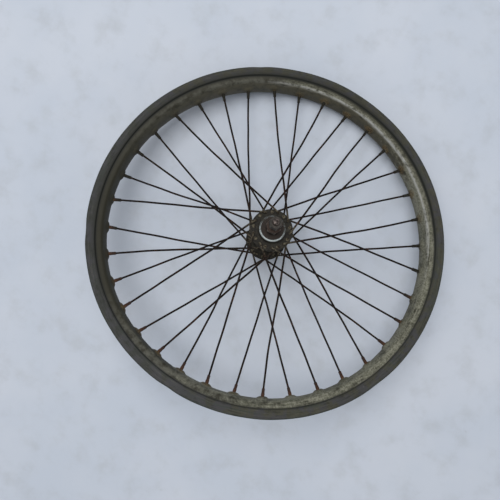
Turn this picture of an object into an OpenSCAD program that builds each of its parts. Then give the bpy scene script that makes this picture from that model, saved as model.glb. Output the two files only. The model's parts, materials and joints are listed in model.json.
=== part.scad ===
// A bent bicycle wheel: a bare steel rim laced three-cross to a front hub.
// It lies as it comes to rest, on the lower end of its axle and on the edge of its rim.
// Millimetres, +Z up, with the floor at z = 0. The rim's low side is towards +Y.

/* [Rim] */
// Diameter over the edges of the rim
rim_d = 419; // [380:1:460]
// Width over the two side walls
rim_w = 35; // [31:0.5:42]
// Height of each flat side wall
wall_h = 10.9; // [8:0.1:12]
// How far the section steps in below each side wall
step_in = 1.8; // [0.8:0.1:3]
// Depth of the whole section, from its edge to the middle of its bed
rim_depth = 21.5; // [19:0.5:26]
// Width of the bed between its two ridges
bed_w = 29; // [24:0.5:31]
// Thickness of the rolled sheet
sheet_t = 1.5; // [1.2:0.1:2]
// How far each nipple seat is pressed in towards the hub
seat_rise = 2.2; // [1.5:0.1:4]
// Radius of the flat top of a nipple seat
seat_top_r = 4.2; // [3.8:0.1:5]
// Radius of a nipple seat at its foot
seat_foot_r = 7.4; // [6.6:0.1:10]
// How far the spoke holes stand to either side of the middle of the bed
stagger = 1.5; // [0:0.1:3]
// Diameter of the valve hole
valve_hole_d = 8.5; // [6.5:0.1:9]

/* [Damage] */
// Sideways bend that bows the rim in two waves
sway_two = 3.5; // [0:0.1:6]
// Sideways bend that bows the rim in three waves
sway_three = 3; // [0:0.1:6]
// Height of the short dent at the rim's low side
dent_h = 2.2; // [0:0.1:5]
// Angle over which that dent fades
dent_span = 12; // [8:1:25]
// Part of the sideways bend that the radius loses
radial_share = 0.32; // [0:0.01:0.6]
// Turn of the hub against the rim
hub_twist = 1; // [-3:0.1:3]

/* [Hub] */
// Distance between the middles of the two flanges
flange_gap = 56; // [46:0.5:70]
// Diameter of each flange
flange_d = 49; // [44:0.5:60]
// Thickness of each flange
flange_t = 3; // [2:0.1:4]
// Diameter of the circle of spoke holes in a flange
hole_circle_d = 42; // [38:0.5:50]
// Diameter of the barrel between the flanges
barrel_d = 25; // [21:0.5:30]
// Outer diameter of the collar outside each flange
collar_d = 31; // [30:0.5:34]
// Length of each collar, from the middle of its flange
collar_l = 8.5; // [8:0.1:12]
// Distance from the middle of the rim up to the middle of the hub
dish = 2; // [-4:0.1:4]

/* [Axle and bearings] */
// Diameter of the axle
axle_d = 7.9; // [7:0.1:8.5]
// Length of the axle
axle_l = 136; // [130:1:160]
// How far the axle stands out of each axle nut
axle_stub = 3; // [2:0.5:8]
// Diameter of those two ends, where the thread is worn
stub_d = 7.2; // [6.2:0.1:7.7]
// Diameter of a bearing ball
ball_d = 4.76; // [4:0.01:5]
// Diameter of the circle that the balls run on
ball_circle_d = 17.6; // [17:0.1:18.5]
// Balls in each bearing
balls = 10; // [6:1:10]
// Distance over the two locknuts
over_locknuts = 93; // [88:1:110]
// Size across the flats of a locknut
locknut_af = 15; // [13:0.5:17]
// Size across the flats of an axle nut
nut_af = 13; // [12:0.5:17]
// Height of an axle nut
nut_h = 8; // [5:0.5:10]
// Diameter of an axle washer
washer_d = 16; // [14:0.5:20]
// Thickness of an axle washer
washer_t = 1.5; // [1:0.1:2.5]

/* [Spokes] */
// Diameter of the spoke wire
spoke_d = 2; // [1.8:0.1:2.3]
// Diameter of a spoke's head
head_d = 3.6; // [3.2:0.1:4]
// Radius of the elbow beside the head
elbow_r = 2.8; // [2.5:0.1:3.2]
// Diameter of a nipple
nipple_d = 4; // [3.8:0.1:4.4]
// Length of a nipple from the rim towards the hub
nipple_l = 9.5; // [8:0.5:12]
// Diameter of a nipple's head
nipple_head_d = 6; // [5.5:0.1:6.4]
// Width of the square end of a nipple
nipple_square = 3.3; // [3.1:0.1:3.5]

/* [Clearances] */
// Radial room between parts that are pressed or screwed together
seat_gap = 0.02; // [0.01:0.01:0.05]
// Radial room round a ball in its races, and round a spoke in its nipple
run_gap = 0.05; // [0.03:0.01:0.08]
// Radial room round a nipple in the rim
nipple_gap = 0.2; // [0.1:0.05:0.4]
// Radial room round a spoke in its flange
hole_gap = 0.25; // [0.15:0.05:0.4]

/* [Hidden] */
$fn = 40;
UP = 1;
DOWN = -1;
SPOKES = 36;
PITCH = 360 / SPOKES;
CROSS = 6 * PITCH;

// Where the first spoke hole of the rim lies, counted from +X; +Y is the low side
FIRST_HOLE = 122.5;
// The valve hole lies between the spokes that carry these two numbers
VALVE_AFTER = 11;

// Sideways bow of each spoke wire that is no longer straight: [spoke, bow]
BOWED = [[0, 1.2], [3, 1.4], [5, -0.9], [6, 1.2], [7, -0.8], [9, -1.6], [14, 1.3],
         [17, -2.2], [19, 0.8], [22, 1.1], [27, -1.4], [30, 1], [31, 2], [33, -1.8], [35, 1.5]];

steel = [0.45, 0.44, 0.42];
rust = [0.36, 0.24, 0.16];
dull_zinc = [0.42, 0.43, 0.41];

spoke_names = [for (k = [1:SPOKES]) str("spoke_", k < 10 ? "0" : "", k)];

// ---- vectors ----
function unit(v) = v / norm(v);
function polar(r, a, z) = [r * cos(a), r * sin(a), z];
function wrapped(a) = let (b = (a + 540) % 360) b - 180;
function side_of(k) = k % 2 == 1 ? UP : DOWN;
function leads(k) = k % 4 < 2 ? 1 : -1;

// ---- how the rim is bent, by the angle from its low side at +Y ----
function sway(a) = let (b = wrapped(a - 90))
    sway_two * cos(2 * b) - sway_three * cos(3 * b) + dent_h * exp(-pow(b / dent_span, 2));
function shrink(a) = -radial_share * sway(a);

// ---- rim section, as [distance in from the edge, distance from the middle] ----
bed_r = rim_d / 2 - rim_depth;
half_w = rim_w / 2;
half_bed = bed_w / 2;
bead = 1.2;
ridge_depth = rim_depth - 4;
bed_rim_in = 2.6;
bed_rim_depth = rim_depth - 2;
bed_side_in = 6.5;
bed_side_depth = rim_depth - 0.8;
bed_middle = 3.2;
ridge_inner_in = 1.1;
outside_half = [[bead, half_w - sheet_t - bead], [0, half_w - bead], [bead, half_w], [wall_h, half_w],
    [wall_h + step_in / 2, half_w - step_in], [ridge_depth, half_bed],
    [bed_rim_depth, half_bed - bed_rim_in], [bed_side_depth, half_bed - bed_side_in]];
inside_half = [[wall_h - 0.3, half_w - sheet_t], [wall_h + 0.4, half_w - step_in - sheet_t],
    [ridge_depth - sheet_t, half_bed - ridge_inner_in],
    [bed_side_depth - 0.2 - sheet_t, half_bed - bed_side_in]];
function mirrored(half) = [for (p = half) [p[0], -p[1]]];
function backwards(list) = [for (i = [len(list) - 1:-1:0]) list[i]];
function across_bed(depth) = [[depth, bed_middle], [depth, 0], [depth, -bed_middle]];
section = concat(outside_half, across_bed(rim_depth), backwards(mirrored(outside_half)),
    mirrored(inside_half), backwards(across_bed(rim_depth - sheet_t)), backwards(inside_half));

// ---- stations round the rim: five to a spoke hole, close together on its seat ----
seat_turn = atan(seat_top_r / bed_r);
foot_turn = atan(seat_foot_r / bed_r);
steps = [-PITCH / 2, -foot_turn, -seat_turn, seat_turn, foot_turn];
function hole_angle(k) = FIRST_HOLE + PITCH * k;
function hole_z(k) = stagger * side_of(k);
function seat_height(turn, z) = let (d = norm([turn * PI / 180 * bed_r, z]))
    seat_rise * min(1, max(0, (seat_foot_r - d) / (seat_foot_r - seat_top_r)));

// One ring of points of the rim; only the bed's own points rise with a seat
function ring(k, turn) = let (a = hole_angle(k) + turn)
    [for (p = section)
        let (rise = p[0] < ridge_depth - sheet_t - 0.01 ? 0 : seat_height(turn, p[1] - hole_z(k)))
        polar(rim_d / 2 - p[0] - rise + shrink(a), a, p[1] + sway(a) - dish)];
rim_rings = [for (k = [0:SPOKES - 1]) for (turn = steps) ring(k, turn)];

// ---- how the wheel lies: it turns about X until an end of the axle and the rim touch the floor ----
tip_bevel = 0.5;
tip_r = stub_d / 2 - tip_bevel;
tip_z = axle_l / 2;
low_edge = [for (points = rim_rings) for (i = [0:len(section) - 1]) points[i]];
lean = atan(min([for (p = low_edge) if (p[1] > rim_d / 4) (p[2] + tip_z) / (p[1] - tip_r)]));
hub_height = tip_r * sin(lean) + tip_z * cos(lean);
function lying(p) = [p[0], p[1] * cos(lean) + p[2] * sin(lean), p[2] * cos(lean) - p[1] * sin(lean)];
lying_points = [for (p = low_edge) lying(p)];
middle_x = (max([for (p = lying_points) p[0]]) + min([for (p = lying_points) p[0]])) / 2;
middle_y = (max([for (p = lying_points) p[1]]) + min([for (p = lying_points) p[1]])) / 2;

module as_it_lies() {
    translate([-middle_x, -middle_y, hub_height]) rotate([-lean, 0, 0]) children();
}

// ---- hub ----
flange_z = flange_gap / 2;
collar_z = flange_z + collar_l;
hole_r = hole_circle_d / 2;
spoke_hole_r = spoke_d / 2 + hole_gap;
collar_wall = 2.3;
cup_r = collar_d / 2 - collar_wall;
barrel_wall = 2;
ball_r = ball_d / 2;
ball_circle_r = ball_circle_d / 2;
ball_z = flange_z + 3;
race_r = ball_r + run_gap;
cup_floor_t = 2.4;
cup_z = ball_z - race_r - cup_floor_t;
cup_hole_r = ball_circle_r - 1.4;
lip_r = ball_circle_r + race_r + 0.35;
cone_neck_r = axle_d / 2 + 2.9;
cone_nose_r = ball_circle_r - 2.4;
cone_nose_z = ball_z - 0.9;
cone_top_r = ball_circle_r - 0.2;
cone_slope_z = ball_z + 2.6;
cone_top_z = ball_z + 3.7;
cap_z = ball_z + 4.2;
cap_t = 0.8;
cap_room = 0.5;
locknut_z = over_locknuts / 2;
locknut_h = 4.4;
lock_washer_t = 1.2;
lock_washer_d = washer_d - 1.5;
cone_z = locknut_z - locknut_h - lock_washer_t;
nut_z = axle_l / 2 - axle_stub - nut_h;

function flange_hole(k) = polar(hole_r, hole_angle(k) + leads(k) * CROSS + hub_twist, side_of(k) * flange_z);

// ---- spokes ----
elbow_rise = elbow_r * 1.22;
weave = spoke_d / 2 + 0.15;
head_h = 0.9;
head_taper = 0.7;
BEND_STEPS = 5;
WIRE_SIDES = 12;
nipple_head_h = 2.4;
nipple_taper_h = 1;
nipple_head_z = sheet_t / 2 + 0.95;
wire_below_head = 0.9;
square_l = 5;

// Which way along the axis a spoke leaves its flange: half of them leave from the outer face
function leaving(k) = -leads(k) * side_of(k);
function elbow_point(k) = flange_hole(k) + [0, 0, leaving(k) * (flange_t / 2 + elbow_rise)];
function flange_face(k) = flange_hole(k) - [0, 0, leaving(k) * flange_t / 2];
function head_point(k) = flange_face(k) - [0, 0, leaving(k) * head_h];
function seat_point(k) = let (a = hole_angle(k))
    polar(bed_r - seat_rise + sheet_t / 2 + shrink(a), a, hole_z(k) + sway(a) - dish);

// The spoke that a spoke crosses last, and where the two wires pass, one just clear of the other
function partner(k) = (k + 2 * leads(k) + SPOKES) % SPOKES;
function share_to_crossing(k) = let (p = elbow_point(k), q = seat_point(k),
        s = elbow_point(partner(k)), t = seat_point(partner(k)), u = q - p, v = t - s)
    ((s.x - p.x) * v.y - (s.y - p.y) * v.x) / (u.x * v.y - u.y * v.x);
function straight_at_crossing(k) = let (p = elbow_point(k)) p + (seat_point(k) - p) * share_to_crossing(k);
function crossing_point(k) = let (c = straight_at_crossing(k), z = straight_at_crossing(partner(k)).z)
    [c.x, c.y, (c.z + z) / 2 - leaving(k) * weave];

function bow_of(k) = let (found = [for (b = BOWED) if (b[0] == k) b[1]]) len(found) > 0 ? found[0] : 0;
function bow_point(k) = let (c = crossing_point(k), q = seat_point(k), u = unit(q - c))
    (c + q) / 2 + bow_of(k) * unit(cross([0, 0, 1], u));
function last_bend(k) = bow_of(k) == 0 ? crossing_point(k) : bow_point(k);
function end_direction(k) = unit(seat_point(k) - last_bend(k));
function end_point(k) = seat_point(k) + end_direction(k) * (nipple_head_z + nipple_head_h - wire_below_head);
function wire_points(k) = concat([head_point(k), flange_face(k), flange_face(k)],
    round_bend(flange_face(k), elbow_point(k), crossing_point(k), elbow_r),
    [crossing_point(k)], bow_of(k) == 0 ? [] : [bow_point(k)], [end_point(k)]);

// Sets children down at p with their +Z along v
module along(p, v) {
    translate(p) rotate([0, acos(v.z / norm(v)), atan2(v.y, v.x)]) children();
}

// Points along a round bend of radius bend_r at b, on the way from a to c
function round_bend(a, b, c, bend_r) = let (u = unit(b - a), v = unit(c - b), turn = acos(u * v),
        m = unit(v - (v * u) * u), centre = b - u * bend_r * tan(turn / 2) + m * bend_r)
    [for (i = [0:BEND_STEPS]) let (t = turn * i / BEND_STEPS) centre + bend_r * (u * sin(t) - m * cos(t))];

// A many-sided wire that follows points, with its own radius at each of them. Each ring of
// corners lies in the plane halfway between the two lengths that meet there
module wire(points, radii, across) {
    last = len(points) - 1;
    v = [for (i = [0:last - 1]) points[i + (points[i + 1] == points[i] ? 2 : 1)] - points[i]];
    rings = [for (i = [0:last]) let (d = unit(unit(v[max(i - 1, 0)]) + unit(v[min(i, last - 1)])),
        e = unit(across - (across * d) * d), f = cross(d, e))
        each [for (j = [0:WIRE_SIDES - 1]) let (t = j * 360 / WIRE_SIDES)
            points[i] + radii[i] * (e * cos(t) + f * sin(t))]];
    sides = [for (i = [0:last - 1]) for (j = [0:WIRE_SIDES - 1])
        let (a = i * WIRE_SIDES + j, b = i * WIRE_SIDES + (j + 1) % WIRE_SIDES)
        each [[a, a + WIRE_SIDES, b], [b, a + WIRE_SIDES, b + WIRE_SIDES]]];
    first_cap = [for (j = [0:WIRE_SIDES - 1]) j];
    last_cap = [for (j = [WIRE_SIDES - 1:-1:0]) last * WIRE_SIDES + j];
    polyhedron(rings, concat([first_cap, last_cap], sides));
}

module spoke(k) {
    points = wire_points(k);
    radii = concat([head_taper * head_d / 2, head_d / 2], [for (i = [3:len(points)]) spoke_d / 2]);
    color(rust) as_it_lies() wire(points, radii, unit(cross([0, 0, 1], end_point(k) - flange_hole(k))));
}

// ---- nipples ----
module nipple_blank() {
    translate([0, 0, -nipple_l]) intersection() {
        cylinder(d = nipple_d, h = nipple_l + nipple_head_z + 0.5);
        union() {
            translate([-nipple_square / 2, -nipple_square / 2, 0])
                cube([nipple_square, nipple_square, square_l + 1]);
            translate([0, 0, square_l]) cylinder(d = nipple_d * 1.1, h = nipple_l);
        }
    }
    translate([0, 0, nipple_head_z]) cylinder(d1 = nipple_d, d2 = nipple_head_d, h = nipple_taper_h);
    translate([0, 0, nipple_head_z + nipple_taper_h])
        cylinder(d = nipple_head_d, h = nipple_head_h - nipple_taper_h);
}

module nipple() {
    $fn = 24;
    difference() {
        nipple_blank();
        translate([0, 0, -nipple_l - 1]) cylinder(r = spoke_d / 2 + run_gap, h = nipple_l + 10);
    }
}

module nipples(side) {
    color(rust) as_it_lies()
        for (k = [0:SPOKES - 1]) if (side_of(k) == side) along(seat_point(k), end_direction(k)) nipple();
}

// ---- rim ----
module rim_channel() {
    count = len(rim_rings);
    size = len(section);
    points = [for (points = rim_rings) for (p = points) p];
    faces = [for (s = [0:count - 1]) for (i = [0:size - 1])
        let (t = (s + 1) % count, j = (i + 1) % size,
            a = s * size + i, b = s * size + j, c = t * size + j, d = t * size + i)
        each [[a, b, c], [a, c, d]]];
    polyhedron(points, faces);
}

module rim() {
    valve_a = hole_angle(VALVE_AFTER) + PITCH / 2;
    color(steel) as_it_lies() difference() {
        rim_channel();
        for (k = [0:SPOKES - 1]) along(seat_point(k), end_direction(k))
            translate([0, 0, -4]) cylinder(r = nipple_d / 2 + nipple_gap, h = 8);
        along(polar(bed_r + shrink(valve_a) - 4, valve_a, sway(valve_a) - dish), polar(1, valve_a, 0))
            cylinder(d = valve_hole_d, h = 9);
    }
}

// ---- hub shell, cups and caps ----
module hub_shell() {
    barrel_r = barrel_d / 2;
    inner_r = barrel_r - barrel_wall;
    flange_r = flange_d / 2;
    collar_r = collar_d / 2;
    low_z = flange_z - flange_t / 2;
    high_z = flange_z + flange_t / 2;
    fillet = 3;
    edge = 0.6;
    collar_edge = 0.8;
    outline = [[barrel_r, low_z - fillet], [barrel_r + fillet, low_z], [flange_r - edge, low_z],
        [flange_r, low_z + edge], [flange_r, high_z - edge], [flange_r - edge, high_z],
        [collar_r, high_z], [collar_r, collar_z - collar_edge], [collar_r - collar_edge, collar_z],
        [cup_r, collar_z], [cup_r, cup_z], [inner_r, cup_z]];
    color(dull_zinc) as_it_lies() difference() {
        rotate_extrude() polygon(concat(outline, backwards(mirrored(outline))));
        for (k = [0:SPOKES - 1]) translate(flange_hole(k) - [0, 0, flange_t])
            cylinder(r = spoke_hole_r, h = 2 * flange_t, $fn = 24);
    }
}

module on_side(side) {
    if (side == UP) children();
    else mirror([0, 0, 1]) children();
}

module race() {
    translate([0, 0, ball_z]) rotate_extrude() translate([ball_circle_r, 0]) circle(r = race_r);
}

module cup(side) {
    color(dull_zinc) as_it_lies() on_side(side) difference() {
        rotate_extrude() polygon([[cup_hole_r, cup_z], [cup_r - seat_gap, cup_z],
            [cup_r - seat_gap, collar_z], [lip_r, collar_z], [lip_r, ball_z], [cup_hole_r, ball_z]]);
        race();
    }
}

module ball_ring(side) {
    color(steel) as_it_lies() on_side(side)
        for (i = [0:balls - 1]) rotate([0, 0, i * 360 / balls])
            translate([ball_circle_r, 0, ball_z]) sphere(r = ball_r, $fn = 36);
}

module dust_cap(side) {
    color(dull_zinc) as_it_lies() on_side(side) translate([0, 0, cap_z]) difference() {
        cylinder(r = lip_r - seat_gap, h = cap_t);
        translate([0, 0, -1]) cylinder(r = cone_neck_r + cap_room, h = cap_t + 2);
    }
}

// ---- what the axle carries ----
module axle() {
    color(rust) as_it_lies() {
        thread_l = axle_l - 2 * axle_stub;
        translate([0, 0, -thread_l / 2]) cylinder(d = axle_d, h = thread_l);
        translate([0, 0, tip_bevel - axle_l / 2]) cylinder(d = stub_d, h = axle_l - 2 * tip_bevel);
        for (side = [UP, DOWN]) on_side(side) translate([0, 0, axle_l / 2 - tip_bevel])
            cylinder(d1 = stub_d, d2 = stub_d - 2 * tip_bevel, h = tip_bevel);
    }
}

module cone(side) {
    bore_r = axle_d / 2 + seat_gap;
    flat_in = 0.9;
    flat_h = 2.2;
    color(steel) as_it_lies() on_side(side) difference() {
        rotate_extrude() polygon([[bore_r, cone_nose_z], [cone_nose_r, cone_nose_z],
            [cone_top_r, cone_slope_z], [cone_top_r, cone_top_z], [cone_neck_r, cone_top_z],
            [cone_neck_r, cone_z], [bore_r, cone_z]]);
        race();
        for (turn = [0, 180]) rotate([0, 0, turn])
            translate([cone_neck_r - flat_in, -10, cone_z - flat_h]) cube([5, 20, 5]);
    }
}

module washer(side, z, d, t) {
    color(rust) as_it_lies() on_side(side) translate([0, 0, z]) difference() {
        cylinder(d = d, h = t);
        translate([0, 0, -1]) cylinder(r = axle_d / 2 + run_gap, h = t + 2);
    }
}

// A six-sided nut with its corners turned down at both ends
module nut(side, z, af, h) {
    corner_r = af / 2 / cos(30);
    bevel = 0.7;
    color(steel) as_it_lies() on_side(side) translate([0, 0, z]) difference() {
        intersection() {
            cylinder(r = corner_r, h = h, $fn = 6);
            rotate_extrude() polygon([[0, 0], [af / 2, 0], [corner_r + 0.1, bevel],
                [corner_r + 0.1, h - bevel], [af / 2, h], [0, h]]);
        }
        translate([0, 0, -1]) cylinder(r = axle_d / 2 + seat_gap, h = h + 2);
    }
}

rim();
for (k = [0:SPOKES - 1]) spoke(k);
nipples(UP);  // nipples_upper
nipples(DOWN);  // nipples_lower
hub_shell();
cup(UP);  // cup_upper
cup(DOWN);  // cup_lower
ball_ring(UP);  // balls_upper
ball_ring(DOWN);  // balls_lower
dust_cap(UP);  // dust_cap_upper
dust_cap(DOWN);  // dust_cap_lower
axle();
cone(UP);  // cone_upper
cone(DOWN);  // cone_lower
washer(UP, cone_z, lock_washer_d, lock_washer_t);  // lock_washer_upper
washer(DOWN, cone_z, lock_washer_d, lock_washer_t);  // lock_washer_lower
nut(UP, locknut_z - locknut_h, locknut_af, locknut_h);  // locknut_upper
nut(DOWN, locknut_z - locknut_h, locknut_af, locknut_h);  // locknut_lower
// Loose on the thread, each washer has slid down to what stops it
washer(UP, locknut_z, washer_d, washer_t);  // axle_washer_upper
washer(DOWN, nut_z - washer_t, washer_d, washer_t);  // axle_washer_lower
nut(UP, nut_z, nut_af, nut_h);  // axle_nut_upper
nut(DOWN, nut_z, nut_af, nut_h);  // axle_nut_lower
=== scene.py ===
"""The looks of a bent bicycle wheel: a bare, buckled steel rim laced to a rusty front hub.

Shapes are worked out in millimetres in the wheel's own frame, with the middle of the hub at
zero and the axle along z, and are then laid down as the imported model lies.
"""

import json
import math

import bpy
import numpy as np
from mathutils import Matrix


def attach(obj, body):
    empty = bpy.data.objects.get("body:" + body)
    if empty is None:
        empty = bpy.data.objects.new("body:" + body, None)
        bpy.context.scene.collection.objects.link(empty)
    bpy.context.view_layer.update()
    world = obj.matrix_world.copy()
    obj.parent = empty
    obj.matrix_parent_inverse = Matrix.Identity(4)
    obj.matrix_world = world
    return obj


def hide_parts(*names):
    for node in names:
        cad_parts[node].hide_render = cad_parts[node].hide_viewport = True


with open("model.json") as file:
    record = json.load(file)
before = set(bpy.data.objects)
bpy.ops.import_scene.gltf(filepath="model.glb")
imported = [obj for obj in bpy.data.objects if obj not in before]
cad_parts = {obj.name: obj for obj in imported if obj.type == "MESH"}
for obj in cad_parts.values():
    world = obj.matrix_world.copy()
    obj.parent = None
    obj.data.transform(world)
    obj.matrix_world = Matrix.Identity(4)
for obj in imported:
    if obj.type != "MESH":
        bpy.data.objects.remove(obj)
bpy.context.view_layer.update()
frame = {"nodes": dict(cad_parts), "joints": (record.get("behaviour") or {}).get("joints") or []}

# ---- how the wheel lies ----
MM = 0.001
turning = next(joint for joint in frame["joints"] if joint["name"] == "axle_turn")
HUB = np.array(turning["pos_m"], float)
AXIS = np.array(turning["axis"], float) / np.linalg.norm(turning["axis"])

# ---- sizes of the rim ----
RIM_D = 419.0
RIM_W = 35.0
WALL_H = 10.9
STEP_IN = 1.8
RIM_DEPTH = 21.5
STEP_DEPTH = WALL_H + STEP_IN / 2
BED_W = 29.0
SHEET_T = 1.5
BEAD = 1.2
BED_R = RIM_D / 2 - RIM_DEPTH
RIDGE_DEPTH = RIM_DEPTH - 4.0
SEAT_RISE = 2.2
SEAT_TOP_R = 4.2
SEAT_FOOT_R = 7.4
STAGGER = 1.5
VALVE_R = 4.25
VALVE_AFTER = 11
DISH = 2.0

# ---- how it is bent ----
SWAY_TWO = 3.5
SWAY_THREE = 3.0
DENT_H = 2.2
DENT_SPAN = 12.0
RADIAL_SHARE = 0.32
HUB_TWIST = 1.0
LOW_SIDE = 90.0

# ---- hub, axle and spokes ----
FLANGE_Z = 28.0
FLANGE_T = 3.0
HOLE_R = 21.0
AXLE_R = 3.95
AXLE_HALF = 68.0
STUB_R = 3.6
STUB_L = 3.0
THREAD_PITCH = 0.977
THREAD_DEPTH = 0.5
THREAD_SHARPNESS = 3.2
AXLE_SIDES = 20
AXLE_RINGS = 980
SPOKES = 36
PITCH = 360 / SPOKES
CROSS = 6 * PITCH
FIRST_HOLE = 122.5
# The wires are 2 mm thick under a crust of rust and dirt.
CRUST = 0.15
SPOKE_R = 1.0 + CRUST
HEAD_R = 2.1
HEAD_H = 0.9
ELBOW_R = 2.8
ELBOW_RISE = ELBOW_R * 1.22
WEAVE = SPOKE_R + 0.15
CROSSING_BEND = 16.0
BOW_BEND = 34.0
WOBBLE = 0.22
ENTRY_CALM = 25.0
WIRE_SIDES = 12
NIPPLE_R = 2.0
NIPPLE_L = 9.5
NIPPLE_HEAD_Z = SHEET_T / 2 + 0.95
NIPPLE_SQUARE = 3.3
BOWED = {0: 1.2, 3: 1.4, 5: -0.9, 6: 1.2, 7: -0.8, 9: -1.6, 14: 1.3, 17: -2.2, 19: 0.8,
         22: 1.1, 27: -1.4, 30: 1.0, 31: 2.0, 33: -1.8, 35: 1.5}
UP_Z = np.array([0.0, 0.0, 1.0])


# ---- vectors and curves ----
def unit(v):
    """v, or each row of v, at a length of one."""
    return v / np.linalg.norm(v, axis=-1, keepdims=True)


def polar(r, a, z):
    """Points at radius r, angle a in degrees and height z."""
    t = np.radians(a)
    return np.stack(np.broadcast_arrays(r * np.cos(t), r * np.sin(t), z), -1)


def smooth(x):
    """Zero below zero, one above one, and a soft S between them."""
    x = np.clip(x, 0, 1)
    return x * x * (3 - 2 * x)


def lay_down(p):
    """Turns points about x by the lean of the axle, moves them to the hub and makes them metres."""
    x, y, z = np.moveaxis(np.asarray(p, float), -1, 0)
    turned = np.stack([x, y * AXIS[2] + z * AXIS[1], z * AXIS[2] - y * AXIS[1]], -1)
    return HUB + turned * MM


def rounded(corners, reach, steps):
    """A line through corners, each inner corner replaced by a parabola that starts and ends
    reach before and after it, or less where the lengths beside it are short."""
    corners = np.asarray(corners, float)
    reach = np.broadcast_to(reach, len(corners))
    t = np.linspace(0, 1, steps)[:, None]
    line = [corners[:1]]
    for i in range(1, len(corners) - 1):
        before, here, after = corners[i - 1], corners[i], corners[i + 1]
        back = min(reach[i], np.linalg.norm(before - here) * 0.48)
        ahead = min(reach[i], np.linalg.norm(after - here) * 0.48)
        start = here + unit(before - here) * back
        end = here + unit(after - here) * ahead
        line.append(start * (1 - t) ** 2 + here * 2 * t * (1 - t) + end * t**2)
    line.append(corners[-1:])
    return np.concatenate(line)


def divided(line, longest):
    """The same line with even points added wherever two of its points are further apart than longest."""
    kept = [line[:1]]
    for a, b in zip(line[:-1], line[1:]):
        n = max(1, math.ceil(np.linalg.norm(b - a) / longest))
        kept.append(a + (b - a) * (np.arange(1, n + 1) / n)[:, None])
    return np.concatenate(kept)


# ---- how the rim is bent, by the angle in degrees ----
def sway(a):
    """How far the rim stands to one side: two waves, three waves and one short dent."""
    b = (np.asarray(a) - LOW_SIDE + 540) % 360 - 180
    waves = SWAY_TWO * np.cos(np.radians(2 * b)) - SWAY_THREE * np.cos(np.radians(3 * b))
    return waves + DENT_H * np.exp(-((b / DENT_SPAN) ** 2))


def shrink(a):
    """How far the radius gives way where the rim is bent to one side."""
    return -RADIAL_SHARE * sway(a)


def hole_angle(k):
    return FIRST_HOLE + PITCH * k


def side_of(k):
    return 1 if k % 2 else -1


def leads(k):
    return 1 if k % 4 < 2 else -1


# ---- meshes ----
def add_mesh(name, points, faces, body, nodes, finish, marks=None):
    """A mesh of points in the wheel's frame and faces, laid down and given to the frame. marks
    holds one number for each point under each name, for the finish to read."""
    mesh = bpy.data.meshes.new(name)
    mesh.from_pydata(lay_down(points), [], faces)
    mesh.polygons.foreach_set("use_smooth", np.ones(len(mesh.polygons), bool))
    for key, values in (marks or {}).items():
        mark = mesh.attributes.new(key, "FLOAT", "POINT")
        mark.data.foreach_set("value", np.asarray(values, np.float32).ravel())
    mesh.materials.append(finish)
    mesh.validate()
    piece = bpy.data.objects.new(name, mesh)
    bpy.context.scene.collection.objects.link(piece)
    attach(piece, body)
    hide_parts(*nodes)


def grid_faces(rows, columns, close_rows=False):
    """Quads between neighbouring rows and columns of a grid of points, as point numbers. The
    last column joins the first."""
    i = np.arange(rows if close_rows else rows - 1)[:, None]
    j = np.arange(columns)[None, :]
    i_next, j_next = (i + 1) % rows, (j + 1) % columns
    quads = [i * columns + j, i_next * columns + j, i_next * columns + j_next, i * columns + j_next]
    return np.stack(np.broadcast_arrays(*quads), -1).reshape(-1, 4)


def stood_at(points, foot, direction):
    """Points set down at foot with their own +z along direction."""
    d = unit(np.asarray(direction, float))
    x = unit(np.cross(UP_Z, d))
    y = np.cross(d, x)
    return foot + points[..., :1] * x + points[..., 1:2] * y + points[..., 2:] * d


def carried(path, radius, across, sides):
    """A round wire: rings of the given radius about each point of path, square to the path."""
    along = np.gradient(path, axis=0)
    along[(along**2).sum(1) < 1e-12] = path[-1] - path[0]
    d = unit(along)
    e = unit(across - (d @ across)[:, None] * d)
    f = np.cross(d, e)
    t = np.linspace(0, 2 * np.pi, sides, endpoint=False)[:, None]
    ring = e[:, None] * np.cos(t) + f[:, None] * np.sin(t)
    return path[:, None] + np.asarray(radius)[:, None, None] * ring


def capped(rows, sides):
    """Faces of a closed tube of rings: its sides and a many-sided cap at each end."""
    faces = [tuple(q) for q in grid_faces(rows, sides)[:, ::-1].tolist()]
    faces.append(tuple(range(sides))[::-1])
    faces.append(tuple(range((rows - 1) * sides, rows * sides)))
    return faces


# ---- shader maths ----
class Value:
    """A socket that turns Python sums into Math nodes."""

    def __init__(self, finish, socket):
        self.finish, self.socket = finish, socket

    def sum_of(self, operation, *values):
        return self.finish.node("ShaderNodeMath", {"operation": operation}, dict(enumerate(values)))

    def __add__(self, other):
        return self.sum_of("ADD", self, other)

    __radd__ = __add__

    def __sub__(self, other):
        return self.sum_of("SUBTRACT", self, other)

    def __rsub__(self, other):
        return self.sum_of("SUBTRACT", other, self)

    def __mul__(self, other):
        return self.sum_of("MULTIPLY", self, other)

    __rmul__ = __mul__

    def __truediv__(self, other):
        return self.sum_of("DIVIDE", self, other)

    def power(self, other):
        return self.sum_of("POWER", self, other)

    def at_most(self, other):
        return self.sum_of("MINIMUM", self, other)

    def at_least(self, other):
        return self.sum_of("MAXIMUM", self, other)

    def size(self):
        return self.sum_of("ABSOLUTE", self)

    def rising(self, low, high):
        """A soft step from 0 at low to 1 at high."""
        limits = {"Value": self, "From Min": low, "From Max": high, "To Min": 0, "To Max": 1}
        return self.finish.node("ShaderNodeMapRange", {"interpolation_type": "SMOOTHSTEP"}, limits)

    def falling(self, low, high):
        """A soft step from 1 at low to 0 at high."""
        return 1 - self.rising(low, high)

    def near(self, middle, reach):
        """1 at middle, fading to 0 at reach on either side."""
        return (self - middle).size().falling(0, reach)


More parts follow.
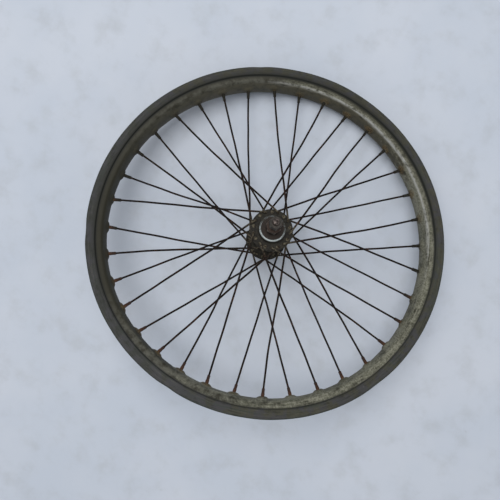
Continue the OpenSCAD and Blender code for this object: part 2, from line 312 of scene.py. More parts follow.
class Finish:
    """A material for one kind of surface, with its own nodes on Object coordinates."""

    def __init__(self, name):
        self.material = bpy.data.materials.new(name)
        self.material.use_nodes = True
        self.tree = self.material.node_tree
        self.tree.nodes.clear()
        self.place = self.node("ShaderNodeTexCoord", {}, {}, "Object")

    def node(self, kind, settings, values, output=0):
        """Adds one node: its settings, then the values or links of its sockets, and gives one output."""
        made = self.tree.nodes.new(kind)
        for key, value in settings.items():
            setattr(made, key, value)
        for key, value in values.items():
            if isinstance(value, Value):
                self.tree.links.new(value.socket, made.inputs[key])
            else:
                made.inputs[key].default_value = value
        return None if output is None else Value(self, made.outputs[output])

    def mark(self, name):
        return self.node("ShaderNodeAttribute", {"attribute_name": name}, {}, "Fac")

    def noise(self, scale, detail=4, roughness=0.55, twist=0.0, place=None):
        """Cloudy noise from 0 to 1; scale is in cycles a metre."""
        values = {"Vector": place or self.place, "Scale": scale, "Detail": detail,
                  "Roughness": roughness, "Distortion": twist}
        return self.node("ShaderNodeTexNoise", {}, values, "Fac")

    def cells(self, scale):
        """Distance to the nearest of many scattered points."""
        return self.node("ShaderNodeTexVoronoi", {}, {"Vector": self.place, "Scale": scale}, "Distance")

    def mix(self, share, low, high):
        """The colour low where share is 0 and the colour high where it is 1."""
        made = self.tree.nodes.new("ShaderNodeMix")
        made.data_type = "RGBA"
        for key, value in ((0, share), (6, low), (7, high)):
            if isinstance(value, Value):
                self.tree.links.new(value.socket, made.inputs[key])
            else:
                made.inputs[key].default_value = value if key == 0 else (*value, 1)
        return Value(self, made.outputs[2])

    def relief(self, height, depth, under=None):
        """A Bump node: height is from 0 to 1 and depth is in metres."""
        values = {"Height": height, "Distance": depth, "Strength": 1.0}
        if under:
            values["Normal"] = under
        return self.node("ShaderNodeBump", {}, values)

    def done(self, colour, roughness, metal, normal, specular=0.5):
        """Joins everything to the surface and gives the material."""
        values = {"Base Color": colour, "Roughness": roughness, "Metallic": metal,
                  "Normal": normal, "Specular IOR Level": specular}
        surface = self.node("ShaderNodeBsdfPrincipled", {}, values, "BSDF")
        self.node("ShaderNodeOutputMaterial", {}, {"Surface": surface}, None)
        return self.material

    def height(self):
        """Distance in millimetres along the axle from the middle of the hub."""
        return self.along(AXIS)

    def along(self, direction):
        """How far a point lies from the middle of the hub in one direction, in millimetres."""
        product = self.node("ShaderNodeVectorMath", {"operation": "DOT_PRODUCT"},
                            {0: self.place, 1: tuple(direction)}, "Value")
        return product / MM - float(HUB @ direction) / MM

    def radius(self):
        """Distance in millimetres from the middle line of the axle."""
        squares = self.along(SIDEWAYS).power(2) + self.along(DOWNHILL).power(2)
        return squares.power(0.5)


SIDEWAYS = np.array([1.0, 0.0, 0.0])
DOWNHILL = np.cross(AXIS, SIDEWAYS)

# ---- colours of the finishes, with painted light and shade among them ----
WALL_GREY = (0.043, 0.042, 0.046)
WALL_OLIVE = (0.048, 0.046, 0.031)
WALL_BLUE_SHEEN = (0.026, 0.029, 0.030)
WALL_GREEN = (0.032, 0.040, 0.032)
GROOVE_SHADE_AND_DIRT = (0.010, 0.011, 0.008)
BELLY_BROWN = (0.025, 0.023, 0.0135)
BELLY_LIT_OLIVE = (0.086, 0.084, 0.066)
DRY_MUD = (0.225, 0.220, 0.170)
DAMP_MUD = (0.095, 0.095, 0.066)
PALE_WEAR_AND_HIGHLIGHT = (0.40, 0.40, 0.38)
BED_OLIVE = (0.034, 0.032, 0.021)
BED_LIT_TAN = (0.120, 0.108, 0.072)
STAIN_AND_SHADE = (0.014, 0.014, 0.010)
OCHRE = (0.135, 0.095, 0.038)
RED_RUST = (0.075, 0.030, 0.018)
DARK_RUST = (0.030, 0.018, 0.012)
WIRE_BLACK = (0.008, 0.007, 0.007)
WIRE_BROWN = (0.024, 0.015, 0.010)
DUST = (0.110, 0.105, 0.085)
GREASE = (0.010, 0.008, 0.006)
HUB_OLIVE = (0.028, 0.025, 0.017)
WORN_STEEL = (0.30, 0.33, 0.33)
HUB_DUST = (0.15, 0.135, 0.095)
NIPPLE_TIP_RUST = (0.045, 0.020, 0.014)
NIPPLE_RUST = (0.078, 0.036, 0.021)
BARE_BEARING = (0.11, 0.10, 0.085)
THREAD_RUST = (0.052, 0.030, 0.022)
BRIGHT_THREAD = (0.26, 0.21, 0.19)
NUT_DARK = (0.018, 0.016, 0.012)
NUT_BROWN = (0.050, 0.042, 0.036)
NUT_BRIGHT = (0.30, 0.27, 0.24)
CLOTH_BLUE = (0.53, 0.575, 0.65)
CLOTH_WHITE = (0.58, 0.615, 0.68)
CLOTH_GREY = (0.42, 0.44, 0.46)
SOIL = (0.20, 0.19, 0.16)

# ---- where the dirt, wear and painted light and shade lie: angles round the rim, directions across the wheel, and distances ----
BLUE_SHEEN_SIDE = 215
SHADED_WALL_SIDE = 140
MUDDY_BELLY_SIDE = 12
MUDDY_BED_SIDE = -22
TOP_SIDE = 95
FOOT_SIDE = -92
LIT_BED_SIDE = 92
OCHRE_SIDES = (68, -108)
LIGHTER_GROOVE_SIDE = -60
RIDGE_HIGHLIGHT_SIDE = 62
RUSTY_WAY = np.array([0.12, -0.99, 0.0])
HIGHLIGHT_WAY = np.array([0.15, -0.95, 0.0])
SHELL_RUBBED = (35.9, 36.3)
NUT_RUBBED = (6.75, 7.4)


def rim_finish():
    """Dull dark side walls with a painted bluish sheen and painted shade on parts of them, painted shade
    and dirt in the step, dried mud on the belly, a worn ridge with a painted highlight and a stained bed
    with rust round the spoke seats. The mud lies on one side of the wheel, and painted light brightens
    the belly on the top and foot sides and the bed on the top side."""
    f = Finish("weathered rim")
    depth, seat, hollow = f.mark("depth"), f.mark("seat"), f.mark("hollow")
    turn_x, turn_y = f.mark("turn_x"), f.mark("turn_y")

    def towards(angle):
        """1 on the part of the rim at that angle, fading to 0 on the far side."""
        t = math.radians(angle)
        return (turn_x * math.cos(t) + turn_y * math.sin(t) + 1) * 0.5

    def streaks(turns, layers, detail):
        """Noise drawn out along the rim."""
        drawn = {"X": turn_x * turns, "Y": turn_y * turns, "Z": depth * layers}
        return f.noise(1.0, detail, 0.6, 0.5, f.node("ShaderNodeCombineXYZ", {}, drawn))

    grain, fine, cloud = f.noise(3200, 3), f.noise(850, 5, 0.65), f.noise(150, 6, 0.65)
    patch, broad = f.noise(75, 5, 0.6, 0.4), f.noise(34, 4, 0.6)
    streak, long_streak = streaks(11, 0.9, 5), streaks(3.5, 0.45, 4)

    # Painted sheen: the wall turns bluish and darker on one side of the rim.
    wall = f.mix(towards(BLUE_SHEEN_SIDE).rising(0.6, 0.95) * 0.7, WALL_OLIVE, WALL_BLUE_SHEEN)
    wall = f.mix(patch.rising(0.46, 0.58) * 0.85, wall, WALL_GREY)
    wall = f.mix(long_streak.rising(0.5, 0.66) * 0.6, wall, WALL_GREEN)
    wall = f.mix((fine * 0.45 + streak * 0.55).rising(0.50, 0.66) * 0.42, wall, DUST)
    wall = f.mix((cloud * 0.5 + streak * 0.5).falling(0.38, 0.50) * 0.65, wall, STAIN_AND_SHADE)
    wall = f.mix(depth.falling(0.6, 2.4) * (0.3 + cloud * 0.5), wall, WALL_GREEN)
    # Painted shade: the lower wall darkens towards the step on one side of the rim.
    shaded_lower_wall = depth.rising(3, WALL_H - 0.4)
    wall = f.mix(shaded_lower_wall * towards(SHADED_WALL_SIDE).rising(0.3, 0.8) * 0.55, wall, STAIN_AND_SHADE)
    chips = f.cells(62).falling(0.05, 0.085) * patch.rising(0.60, 0.66)
    wall = f.mix(chips * 0.9, wall, PALE_WEAR_AND_HIGHLIGHT)

    blotch = (cloud * 0.40 + fine * 0.22 + streak * 0.38 - 0.5) * 1.7 + 0.5
    belly_share = towards(MUDDY_BELLY_SIDE).rising(0.08, 0.70)
    bed_share = towards(MUDDY_BED_SIDE).rising(0.30, 0.80)
    # Painted light: lighter copies of the belly colour on the top and foot sides, and of the bed colour
    # on the top side.
    painted_light_share = towards(TOP_SIDE).rising(0.45, 0.98).at_least(towards(FOOT_SIDE).rising(0.85, 0.98))
    crumbs = f.noise(480, 5, 0.7)
    mud_colour = f.mix((crumbs * 0.7 + long_streak * 0.3).rising(0.40, 0.60), DAMP_MUD, DRY_MUD)
    belly_mud = (blotch + belly_share * 0.42 + (broad - 0.5) * 0.5).rising(0.66, 0.96)
    belly = f.mix(painted_light_share * cloud.rising(0.35, 0.6), BELLY_BROWN, BELLY_LIT_OLIVE)
    belly = f.mix(belly_mud, belly, mud_colour)
    belly = f.mix((patch * 0.4 + fine * 0.3 + streak * 0.3).rising(0.52, 0.62) * 0.6, belly, BED_OLIVE)
    shaded = towards(TOP_SIDE).rising(0.55, 0.9) * (depth + (streak - 0.5) * 5).falling(11.5, 18.5)
    belly = f.mix(shaded * 0.85, belly, BELLY_BROWN)

    bed_mud = (blotch + bed_share * 0.48 + (broad - 0.5) * 0.6).rising(0.70, 0.98)
    lit_bed = towards(LIT_BED_SIDE).rising(0.40, 0.92) * (cloud * 0.5 + streak * 0.5).rising(0.30, 0.58)
    bed = f.mix(lit_bed * 0.6, BED_OLIVE, BED_LIT_TAN)
    bed = f.mix(bed_mud, bed, mud_colour)
    bed = f.mix((patch * 0.5 + fine * 0.5).rising(0.52, 0.66) * 0.4, bed, STAIN_AND_SHADE)
    stain = seat.falling(2.5, 8.5) * (0.25 + cloud)
    bed = f.mix(stain.at_most(1) * 0.6, bed, STAIN_AND_SHADE)
    ochre_side = towards(OCHRE_SIDES[0]).rising(0.84, 0.98)
    ochre_side = ochre_side.at_least(towards(OCHRE_SIDES[1]).rising(0.86, 0.99))
    rust = (seat.falling(2, 13) * 0.7 + cloud * 0.6).rising(0.6, 0.95) * (0.06 + ochre_side * 0.8)
    bed = f.mix(rust, bed, f.mix(fine.rising(0.4, 0.6), OCHRE, DARK_RUST))
    crust = seat.near(3.0, 1.5) * cloud.rising(0.42, 0.62) * (0.15 + bed_share.at_least(ochre_side) * 0.7)
    bed = f.mix(crust, bed, f.mix(fine.rising(0.42, 0.6), OCHRE, DRY_MUD))

    skin = f.mix(depth.rising(STEP_DEPTH, STEP_DEPTH + 0.8), wall, belly)
    # Painted shade and dirt: a soft black band in the step, weaker on one side of the rim.
    groove = depth.near(STEP_DEPTH - 0.4, 2.7) * (0.75 + streak * 0.3)
    groove = groove * (1.15 - towards(LIGHTER_GROOVE_SIDE).rising(0.4, 0.9) * 0.65)
    skin = f.mix(groove.at_most(0.95), skin, GROOVE_SHADE_AND_DIRT)
    skin = f.mix((depth + streak * 2.2).rising(RIDGE_DEPTH + 1.9, RIDGE_DEPTH + 3.8), skin, bed)
    # Painted highlight and wear: a pale line along the ridge, on one side of the rim.
    ridge_highlight_side = towards(RIDGE_HIGHLIGHT_SIDE).rising(0.75, 0.93)
    pale = (depth + long_streak * 2.6 + cloud * 1.2).near(RIDGE_DEPTH + 3.0, 1.7)
    pale = pale * ridge_highlight_side * (streak * 0.5 + cloud * 0.5).rising(0.38, 0.55)
    skin = f.mix(pale * 0.8, skin, PALE_WEAR_AND_HIGHLIGHT)
    inside = f.mix((cloud + fine * 0.3).rising(0.45, 0.8), DARK_RUST, RED_RUST)
    inside = f.mix(broad.rising(0.5, 0.65) * 0.5, inside, BELLY_BROWN)
    skin = f.mix(hollow, skin, inside)

    muddy = belly_mud * depth.rising(STEP_DEPTH - 0.1, STEP_DEPTH + 0.5)
    dull = (0.55 + fine * 0.22 + muddy * 0.2).at_most(1)
    metal = depth.falling(WALL_H - 0.5, WALL_H + 0.3) * (1 - hollow) * 0.15
    pits = f.relief(grain * 0.5 + fine * 0.5, 0.00014)
    lumps = f.relief(cloud * 0.4 + patch * 0.3 + muddy * 0.6, 0.0006, pits)
    return f.done(skin, dull, metal, lumps, 0.3)


def spoke_finish():
    """Brown-black old wire with a few rust blooms, and grease and dust at the hub."""
    f = Finish("rusty spoke wire")
    run = f.mark("run")
    fine, cloud, broad = f.noise(2600, 4), f.noise(420, 5, 0.6), f.noise(70, 3)
    skin = f.mix(cloud.rising(0.40, 0.64), WIRE_BLACK, WIRE_BROWN)
    skin = f.mix((cloud * 0.5 + broad * 0.6).rising(0.58, 0.72) * 0.5, skin, RED_RUST)
    skin = f.mix((fine * 0.5 + broad * 0.5).rising(0.58, 0.70) * 0.2, skin, DUST)
    flecks = (fine * 0.4 + cloud * 0.6).rising(0.45, 0.56)
    skin = f.mix(run.falling(5, 26) * 0.85, skin, f.mix(flecks, WIRE_BROWN, HUB_DUST))
    dull = (0.55 + fine * 0.3 + cloud * 0.12).at_most(1)
    return f.done(skin, dull, 0.0, f.relief(fine * 0.6 + cloud * 0.4, 0.00018), 0.1)


def nipple_finish():
    """Rough red-brown rust on one side of the wheel and dark plating on the other, with ochre
    crusts where some nipples stand in the rim."""
    f = Finish("rusty nipples")
    run = f.mark("run")
    fine, cloud, broad = f.noise(2400, 4), f.noise(620, 4, 0.6), f.noise(24, 2)
    rusty_side = (f.along(RUSTY_WAY) / 380 + 0.5 + (broad - 0.5) * 0.9).rising(0.42, 0.72)
    rust = (cloud * 0.5 + rusty_side * 0.45 + run / 60).rising(0.45, 0.85)
    skin = f.mix(rust, STAIN_AND_SHADE, f.mix(run.rising(3.0, 8.0), NIPPLE_TIP_RUST, NIPPLE_RUST))
    skin = f.mix(fine.rising(0.46, 0.66) * 0.6, skin, DARK_RUST)
    skin = f.mix((cloud * 0.5 + fine * 0.5).rising(0.58, 0.68) * 0.3, skin, DUST)
    foot = run.rising(6.8, 9.0) * (broad * 0.6 + cloud * 0.6).rising(0.54, 0.72)
    skin = f.mix(foot * 0.75, skin, OCHRE)
    return f.done(skin, 0.66 + fine * 0.3, 0.1, f.relief(fine * 0.5 + cloud * 0.5, 0.0003), 0.25)


def hub_finish():
    """Greasy olive-black dirt with dried flecks, and metal rubbed bare round the end of the shell, with a
    painted highlight that makes more of the bare ring show on the side away from the low side of the rim."""
    f = Finish("greasy hub shell")
    fine, cloud, broad = f.noise(1500, 5, 0.6), f.noise(300, 5, 0.7, 0.6), f.noise(110, 4, 0.6)
    end = f.height().size()
    skin = f.mix(cloud.rising(0.38, 0.62), GREASE, HUB_OLIVE)
    skin = f.mix((fine * 0.45 + cloud * 0.2 + broad * 0.4).rising(0.57, 0.64) * 0.5, skin, DUST)
    skin = f.mix((cloud * 0.5 + fine * 0.5).rising(0.56, 0.66) * 0.35, skin, DARK_RUST)
    # Painted highlight: more of the bare ring shows towards one side of the hub.
    highlight_side = f.along(HIGHLIGHT_WAY).rising(-14, 12)
    ring = end.rising(*SHELL_RUBBED) * (cloud * 0.6 + fine * 0.5 - highlight_side * 0.3).falling(0.36, 0.60)
    skin = f.mix(ring, skin, WORN_STEEL)
    dull = 0.55 + cloud * 0.3 - ring * 0.25
    return f.done(skin, dull, 0.1 + ring * 0.7, f.relief(cloud * 0.7 + fine * 0.3, 0.0007), 0.3)


def bearing_finish():
    """Bearing steel and dust caps under old dark grease."""
    f = Finish("greasy bearing steel")
    fine, cloud = f.noise(1900, 4), f.noise(420, 5, 0.6)
    bare = (cloud * 0.6 + fine * 0.4).rising(0.60, 0.72)
    skin = f.mix(bare, f.mix(fine.rising(0.4, 0.6), GREASE, DARK_RUST), BARE_BEARING)
    return f.done(skin, 0.5 - bare * 0.12 + fine * 0.2, 0.15 + bare * 0.5, f.relief(cloud, 0.0003), 0.3)


def axle_finish():
    """A brown rusty thread with black grease in its hollows and worn bright crests at its tip."""
    f = Finish("rusty axle thread")
    fine, cloud = f.noise(1700, 4), f.noise(380, 5, 0.6)
    hollow = f.radius().falling(AXLE_R - 0.65, AXLE_R - 0.1)
    skin = f.mix(cloud.rising(0.35, 0.65), DARK_RUST, THREAD_RUST)
    skin = f.mix(fine.rising(0.54, 0.68) * 0.45, skin, DUST)
    skin = f.mix(hollow * 0.7, skin, GREASE)
    crest = f.height().size().rising(AXLE_HALF - 1.2, AXLE_HALF) * cloud.rising(0.42, 0.58)
    skin = f.mix(crest * 0.6, skin, BRIGHT_THREAD)
    return f.done(skin, 0.5 + fine * 0.3 - crest * 0.15, 0.2 + crest * 0.4, f.relief(fine, 0.00015), 0.35)


def nut_finish():
    """Dull brown plated steel, its corners rubbed bright and its flats dirty."""
    f = Finish("old plated nuts")
    fine, cloud = f.noise(1600, 5), f.noise(330, 5, 0.6)
    skin = f.mix(cloud.rising(0.35, 0.65), NUT_DARK, NUT_BROWN)
    skin = f.mix((fine * 0.5 + cloud * 0.5).rising(0.51, 0.62) * 0.7, skin, DARK_RUST)
    corner = f.radius().rising(*NUT_RUBBED) * fine.rising(0.38, 0.58)
    skin = f.mix(corner * 0.5, skin, NUT_BRIGHT)
    dull = 0.42 + fine * 0.25 - corner * 0.12
    return f.done(skin, dull, 0.35 + corner * 0.3, f.relief(cloud * 0.6 + fine * 0.4, 0.00025), 0.4)


def floor_finish():
    """A pale cloth-like ground, faintly mottled and specked with soil."""
    f = Finish("pale ground")
    broad, cloud, fine = f.noise(5, 4, 0.6), f.noise(28, 5, 0.6), f.noise(900, 3)
    skin = f.mix(broad.rising(0.3, 0.7), CLOTH_BLUE, CLOTH_WHITE)
    skin = f.mix(cloud.rising(0.45, 0.8) * 0.45, skin, CLOTH_GREY)
    speck = f.cells(26).falling(0.02, 0.075) * cloud.rising(0.5, 0.7)
    skin = f.mix(speck * 0.35, skin, SOIL)
    return f.done(skin, 0.9 + fine * 0.05, 0.0, f.relief(cloud * 0.4 + fine * 0.1, 0.0006), 0.2)


# ---- the rim ----
AROUND = 20 * SPOKES
BED_EDGE = BED_W / 2 - 2.6
BED_POINTS = 23
BED_DROP = 2.0
INNER_DROP = 2.6
EDGE_ROUND = 1.1
STEP_ROUND = 0.5
RIDGE_ROUND = 1.3
RIPPLE = 0.10
CONE_BLEND = 0.6
# Each ding has its angle, its half width in degrees, its depth, and 1 on the upper wall or -1.
DINGS = ((205.0, 3.0, 0.8, 1), (262.0, 2.2, 0.6, 1), (38.0, 2.6, 0.7, -1), (330.0, 3.5, 0.7, 1),
         (118.0, 2.0, 0.5, 1))


def rim_section():
    """The closed outline of the rolled sheet as [distance in from the edge, distance across],
    with its bends rounded. Both skins of the bed have the same points across, so that a hole
    can be cut through them. Gives the outline and the numbers of the two beds' points."""
    half_w, half_bed = RIM_W / 2, BED_W / 2
    wall = [[BEAD, half_w - SHEET_T - BEAD], [0, half_w - BEAD - 0.1], [BEAD, half_w], [WALL_H, half_w],
            [STEP_DEPTH, half_w - STEP_IN], [RIDGE_DEPTH, half_bed], [RIM_DEPTH - BED_DROP, BED_EDGE]]
    reach = [0, EDGE_ROUND, EDGE_ROUND, STEP_ROUND, STEP_ROUND + 0.1, RIDGE_ROUND, 0]
    wall = divided(rounded(wall, reach, 5), 2.2)
    across = np.linspace(BED_EDGE, -BED_EDGE, BED_POINTS)
    share = (across / BED_EDGE) ** 2
    bed = np.stack([RIM_DEPTH - BED_DROP * share, across], 1)
    inner_bed = np.stack([RIM_DEPTH - SHEET_T - INNER_DROP * share, across], 1)[::-1]
    inner_wall = [[RIM_DEPTH - SHEET_T - INNER_DROP, BED_EDGE], [RIDGE_DEPTH - SHEET_T, half_bed - 1.1],
                  [WALL_H + 0.4, half_w - STEP_IN - SHEET_T], [WALL_H - 0.3, half_w - SHEET_T],
                  [BEAD, half_w - SHEET_T - BEAD]]
    inner_wall = divided(rounded(inner_wall, 0.8, 3), 3.5)[1:-1]
    flip = np.array([1, -1])
    parts = [wall[:-1], bed, (wall[:-1] * flip)[::-1], (inner_wall * flip)[::-1], inner_bed, inner_wall]
    starts = np.cumsum([0] + [len(p) for p in parts])
    outer = starts[1] + np.arange(BED_POINTS)
    inner = starts[4] + np.arange(BED_POINTS)[::-1]
    return np.concatenate(parts), outer, inner, starts[3]


def make_rim(finish):
    """The section carried round the bent circle. A soft cone of SEAT_RISE stands at each spoke
    hole, and small dings press in the outer edge."""
    section, outer, inner, first_hollow = rim_section()
    rows, columns = AROUND, len(section)
    a = (FIRST_HOLE - PITCH / 2 + np.arange(rows) * 360 / rows)[:, None] + np.zeros(columns)
    depth = np.zeros((rows, 1)) + section[:, 0]
    across = np.zeros((rows, 1)) + section[:, 1]

    valve_a = hole_angle(VALVE_AFTER) + PITCH / 2
    mm_per_degree = math.radians(1) * BED_R
    aside = (a - valve_a) * mm_per_degree
    cell_aside = (aside[:-1, outer[:-1]] + aside[1:, outer[:-1]]) / 2
    cell_across = (across[:-1, outer[:-1]] + across[:-1, outer[1:]]) / 2
    open_cells = np.hypot(cell_aside, cell_across) < VALVE_R * 0.9
    corners = np.zeros((rows, BED_POINTS), bool)
    kept_corners = np.zeros((rows, BED_POINTS), bool)
    for i, j in ((0, 0), (0, 1), (1, 0), (1, 1)):
        corners[i:rows - 1 + i, j:BED_POINTS - 1 + j] |= open_cells
        kept_corners[i:rows - 1 + i, j:BED_POINTS - 1 + j] |= ~open_cells
    lip_row, lip_column = np.nonzero(corners & kept_corners)
    for skin in (outer, inner):
        s, z = aside[lip_row, skin[lip_column]], across[lip_row, skin[lip_column]]
        pull = VALVE_R / np.hypot(s, z)
        a[lip_row, skin[lip_column]] = valve_a + s * pull / mm_per_degree
        across[lip_row, skin[lip_column]] = z * pull

    k = np.floor((a - FIRST_HOLE) / PITCH + 0.5).astype(int)
    side = np.where(k % 2, 1, -1)
    seat = np.hypot((a - hole_angle(k)) * mm_per_degree, across - STAGGER * side)
    cone = smooth((SEAT_FOOT_R + CONE_BLEND - seat) / (SEAT_FOOT_R - SEAT_TOP_R + 2 * CONE_BLEND))
    rise = np.where(depth > RIDGE_DEPTH - SHEET_T - 0.01, SEAT_RISE * cone, 0)
    ding = sum(d * np.exp(-((((a - at + 540) % 360 - 180) / w) ** 2)) * smooth((across * up - 6) / 8)
               for at, w, d, up in DINGS) * smooth(1 - depth / 9)
    ripple = RIPPLE * np.sin(np.radians(a * 23)) * np.sin(np.radians(a * 7 + 40)) * smooth(1 - depth / 12)
    points = polar(RIM_D / 2 - depth - rise - ding + ripple + shrink(a), a, across + sway(a) - DISH)

    faces = grid_faces(rows, columns, close_rows=True)
    cut = np.zeros((rows, columns), bool)
    cut_rows, cut_cells = np.nonzero(open_cells)
    cut[cut_rows, outer[cut_cells]] = True
    cut[cut_rows, inner[cut_cells + 1]] = True
    faces = faces[~cut.ravel()].tolist()
    faces += valve_lip(open_cells, outer, inner, columns)
    t = np.radians(a)
    hollow = (np.arange(columns) >= first_hollow) + np.zeros((rows, 1))
    marks = {"depth": depth, "seat": seat, "turn_x": np.cos(t), "turn_y": np.sin(t), "hollow": hollow}
    add_mesh("bent_rim", points.reshape(-1, 3), faces, "wheel", ["rim"], finish, marks)


def valve_lip(open_cells, outer, inner, columns):
    """The wall of the valve hole: one quad from skin to skin along each side between an open
    cell and a kept one."""
    quads = []
    for i, j in zip(*np.nonzero(open_cells)):
        for di, dj, one, two in ((-1, 0, (0, 0), (0, 1)), (1, 0, (1, 1), (1, 0)),
                                 (0, -1, (1, 0), (0, 0)), (0, 1, (0, 1), (1, 1))):
            if not open_cells[i + di, j + dj]:
                p, q = (i + one[0], j + one[1]), (i + two[0], j + two[1])
                quads.append([p[0] * columns + inner[p[1]], q[0] * columns + inner[q[1]],
                              q[0] * columns + outer[q[1]], p[0] * columns + outer[p[1]]])
    return quads


# ---- spokes and nipples ----
def flange_hole(k):
    return polar(HOLE_R, hole_angle(k) + leads(k) * CROSS + HUB_TWIST, side_of(k) * FLANGE_Z)


def leaving(k):
    """Which way along the axis a spoke leaves its flange: half of them leave from the outer face."""
    return -leads(k) * side_of(k)


def elbow_point(k):
    return flange_hole(k) + UP_Z * leaving(k) * (FLANGE_T / 2 + ELBOW_RISE)


def seat_point(k):
    a = hole_angle(k)
    return polar(BED_R - SEAT_RISE + SHEET_T / 2 + shrink(a), a, STAGGER * side_of(k) + sway(a) - DISH)


def crossing_point(k):
    """Where a spoke passes the last one that it crosses, just clear of it on its own side."""
    other = (k + 2 * leads(k) + SPOKES) % SPOKES
    p, s = elbow_point(k), elbow_point(other)
    u, v = seat_point(k) - p, seat_point(other) - s
    cut = u[0] * v[1] - u[1] * v[0]
    here = p + u * ((s[0] - p[0]) * v[1] - (s[1] - p[1]) * v[0]) / cut
    there = s + v * ((s[0] - p[0]) * u[1] - (s[1] - p[1]) * u[0]) / cut
    return np.array([here[0], here[1], (here[2] + there[2]) / 2 - leaving(k) * WEAVE])


def bow_point(k):
    c, q = crossing_point(k), seat_point(k)
    return (c + q) / 2 + BOWED[k] * unit(np.cross(UP_Z, unit(q - c)))


def end_direction(k):
    return unit(seat_point(k) - (bow_point(k) if k in BOWED else crossing_point(k)))


def spoke_path(k):
    """The wire's middle line: through the flange, round the elbow, past the crossing, along its
    bow and into the nipple. Small waves of a few tenths of a millimetre run along it."""
    foot = flange_hole(k) - UP_Z * leaving(k) * FLANGE_T / 2
    end = seat_point(k) + end_direction(k) * (NIPPLE_HEAD_Z + 1.5)
    corners = [foot, elbow_point(k), crossing_point(k), end]
    reach = [0, ELBOW_R * 0.95, CROSSING_BEND, 0]
    if k in BOWED:
        corners.insert(3, bow_point(k))
        reach.insert(3, BOW_BEND)
    line = divided(rounded(corners, reach, 9), 4.5)
    run = np.concatenate([[0], np.cumsum(np.linalg.norm(np.diff(line, axis=0), axis=1))])
    calm = smooth((run - ENTRY_CALM) / 30) * smooth((run[-1] - run - ENTRY_CALM + 3) / 30)
    across = unit(np.cross(UP_Z, end - foot))
    wave = WOBBLE * np.sin(run / 9.5 + k * 2.4) * np.sin(run / 31 + k * 1.7)
    return line + (calm * wave)[:, None] * across, run, across


def make_spoke(k, finish):
    """A wire with a domed head pressed against the flange and a smooth elbow beside it."""
    line, run, across = spoke_path(k)
    head_rise = HEAD_H * np.array([1.0, 0.97, 0.8, 0.35, 0.04, 0.0])
    head_r = HEAD_R * np.array([0.25, 0.62, 0.86, 1.0, 0.98, 0.57])
    head = line[0] - UP_Z * leaving(k) * head_rise[:, None]
    path = np.concatenate([head, line[1:]])
    radius = np.concatenate([head_r, np.full(len(line) - 1, SPOKE_R)])
    points = carried(path, radius, across, WIRE_SIDES)
    marks = {"run": np.repeat(np.concatenate([np.zeros(len(head)), run[1:]]), WIRE_SIDES)}
    name = f"spoke_{k + 1:02d}"
    faces = capped(len(path), WIRE_SIDES)
    add_mesh("wire_" + name, points.reshape(-1, 3), faces, "wheel", [name], finish, marks)


def nipple_shape(sides=24):
    """A nipple along z from its tip towards the hub at -NIPPLE_L: a square end with softened
    corners, a round barrel and a domed, slotted head. Across each ring the radius is the lesser
    of the barrel's and the square's."""
    z = np.array([0, 0, 0.25, 0.6, 3.2, 4.6, 5.4, 6.0, 9.3]) - NIPPLE_L
    barrel = NIPPLE_R - np.array([NIPPLE_R - 0.01, 0.55, 0.15, 0, 0, 0, 0, 0, 0])
    square = np.array([1, 1, 1, 1, 1, 1, 0.3, 0, 0])
    head_z = NIPPLE_HEAD_Z + np.array([-0.3, 0, 0.75, 1.0, 1.5, 1.9, 2.2, 2.35, 2.4])
    head_r = np.array([NIPPLE_R, NIPPLE_R, 2.75, 3.0, 3.0, 2.75, 2.1, 1.1, 0.01])
    z, r = np.concatenate([z, head_z]), np.concatenate([barrel, head_r])
    square = np.concatenate([square, np.zeros(len(head_z))])
    t = np.linspace(0, 2 * np.pi, sides, endpoint=False) + np.pi / sides
    flat = NIPPLE_SQUARE / 2 / np.maximum(abs(np.cos(t)), abs(np.sin(t)))
    radius = r[:, None] * (1 - square[:, None]) + square[:, None] * np.minimum(r[:, None], flat)
    x, y = radius * np.cos(t), radius * np.sin(t)
    height = z[:, None] + 0 * t
    slot = (abs(x) < 0.55) & (height > NIPPLE_HEAD_Z + 1.45)
    height = np.where(slot, NIPPLE_HEAD_Z + 1.4, height)
    return np.stack([x, y, height], -1)


def make_nipples(side, name, finish):
    """The nipples of one flange, each in line with its own spoke."""
    shape = nipple_shape()
    rows, sides = shape.shape[:2]
    one = capped(rows, sides)
    points, faces, run = [], [], []
    for n, k in enumerate(k for k in range(SPOKES) if side_of(k) == side):
        points.append(stood_at(shape, seat_point(k), end_direction(k)).reshape(-1, 3))
        faces += [tuple(i + n * rows * sides for i in face) for face in one]
        run.append(shape[..., 2].ravel() + NIPPLE_L)
    marks = {"run": np.concatenate(run)}
    add_mesh("rusty_" + name, np.concatenate(points), faces, "wheel", [name], finish, marks)


# ---- the axle ----
def make_axle(finish):
    """A rod whose radius follows a screw: a sharp wave in height minus a turn's share of the
    pitch. The thread is shallow where the two ends are worn, and the ends are bevelled."""
    z = np.linspace(-AXLE_HALF, AXLE_HALF, AXLE_RINGS)[:, None]
    t = np.linspace(0, 2 * np.pi, AXLE_SIDES, endpoint=False)
    wave = (z / THREAD_PITCH - t / (2 * np.pi)) % 1
    groove = smooth(1 - abs(wave - 0.5) * THREAD_SHARPNESS)
    worn = smooth((abs(z) - (AXLE_HALF - STUB_L)) / 0.4)
    radius = AXLE_R - (AXLE_R - STUB_R) * worn - groove * (THREAD_DEPTH - 0.3 * worn)
    radius = np.minimum(radius, STUB_R - 0.5 + (AXLE_HALF - abs(z)))
    points = np.stack(np.broadcast_arrays(radius * np.cos(t), radius * np.sin(t), z), -1)
    faces = capped(AXLE_RINGS, AXLE_SIDES)
    add_mesh("threaded_axle", points.reshape(-1, 3), faces, "axle_set", ["axle"], finish)


# ---- everything that the model has ----
rim_metal, wire, nipple_metal = rim_finish(), spoke_finish(), nipple_finish()
shell_metal, bearing_metal = hub_finish(), bearing_finish()
axle_metal, nut_metal = axle_finish(), nut_finish()

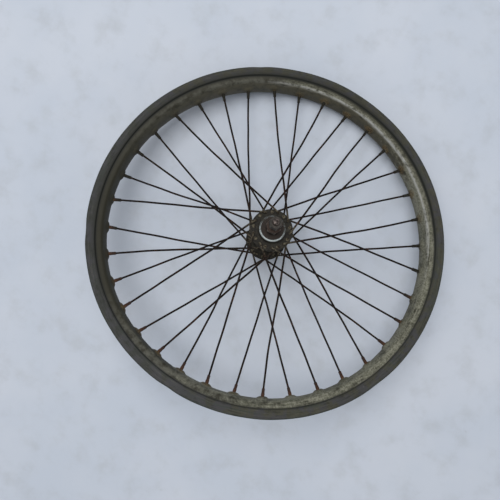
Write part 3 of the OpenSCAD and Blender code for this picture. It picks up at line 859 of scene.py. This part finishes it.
make_rim(rim_metal)
for spoke in range(SPOKES):
    make_spoke(spoke, wire)
make_nipples(1, "nipples_upper", nipple_metal)
make_nipples(-1, "nipples_lower", nipple_metal)
make_axle(axle_metal)

FINISH_OF = {"hub_shell": shell_metal, "dust_cap": bearing_metal, "cup": bearing_metal,
             "balls": bearing_metal, "cone": bearing_metal, "lock_washer": axle_metal,
             "axle_washer": axle_metal, "locknut": nut_metal, "axle_nut": nut_metal}
for name, node in frame["nodes"].items():
    for start, finish in FINISH_OF.items():
        if name.startswith(start):
            node.data.materials.clear()
            node.data.materials.append(finish)

# ---- ground, light and camera ----
GROUND_HALF = 3.0
LAMP_DISTANCE = 2.2
LAMP_SIZE = 1.5
LAMP_WATTS = 33
SKY_COLOUR = (0.93, 0.96, 1.0, 1)
SKY_STRENGTH = 0.47
ground = bpy.data.meshes.new("ground")
corners = [(-GROUND_HALF, -GROUND_HALF, 0), (GROUND_HALF, -GROUND_HALF, 0),
           (GROUND_HALF, GROUND_HALF, 0), (-GROUND_HALF, GROUND_HALF, 0)]
ground.from_pydata(corners, [], [(0, 1, 2, 3)])
ground.materials.append(floor_finish())
floor = bpy.data.objects.new("ground", ground)
bpy.context.scene.collection.objects.link(floor)

VIEW_LEAN = 2.03
VIEW_TURN = 25.6
VIEW_DISTANCE = 0.645
VIEW_RIGHT = -0.02145
VIEW_UP = -0.01617
VIEW_HEIGHT_ON_AXLE = -0.0056
LENS = 38.8
SENSOR = 36

back = np.array([0, math.sin(math.radians(VIEW_LEAN)), math.cos(math.radians(VIEW_LEAN))])
right = np.array([math.cos(math.radians(VIEW_TURN)), math.sin(math.radians(VIEW_TURN)), 0])
right = unit(right - (right @ back) * back)
upward = np.cross(back, right)
eye = HUB + AXIS * VIEW_HEIGHT_ON_AXLE + right * VIEW_RIGHT + upward * VIEW_UP + back * VIEW_DISTANCE


def turned_to(x, y, z, at):
    """The matrix of something that stands at a point with those three axes."""
    matrix = np.eye(4)
    matrix[:3, 0], matrix[:3, 1], matrix[:3, 2], matrix[:3, 3] = x, y, z, at
    return Matrix(matrix)


camera_data = bpy.data.cameras.new("camera")
camera_data.lens = LENS
camera_data.sensor_width = SENSOR
camera = bpy.data.objects.new("camera", camera_data)
bpy.context.scene.collection.objects.link(camera)
camera.matrix_world = turned_to(right, upward, back, eye)
bpy.context.scene.camera = camera

# One large square lamp stands almost straight above the hub.
lamp_data = bpy.data.lights.new("sky_lamp", "AREA")
lamp_data.size = LAMP_SIZE
lamp_data.energy = LAMP_WATTS
lamp = bpy.data.objects.new("sky_lamp", lamp_data)
lamp_z = unit(upward * 0.26 - right * 0.14 + back * 1.2)
lamp_x = unit(np.cross((0.3, 1, 0.2), lamp_z))
lamp.matrix_world = turned_to(lamp_x, np.cross(lamp_z, lamp_x), lamp_z, HUB + lamp_z * LAMP_DISTANCE)
bpy.context.scene.collection.objects.link(lamp)

world = bpy.data.worlds.new("plain sky")
world.use_nodes = True
sky = world.node_tree.nodes["Background"]
sky.inputs["Color"].default_value = SKY_COLOUR
sky.inputs["Strength"].default_value = SKY_STRENGTH
bpy.context.scene.world = world
bpy.context.scene.view_settings.view_transform = "Standard"
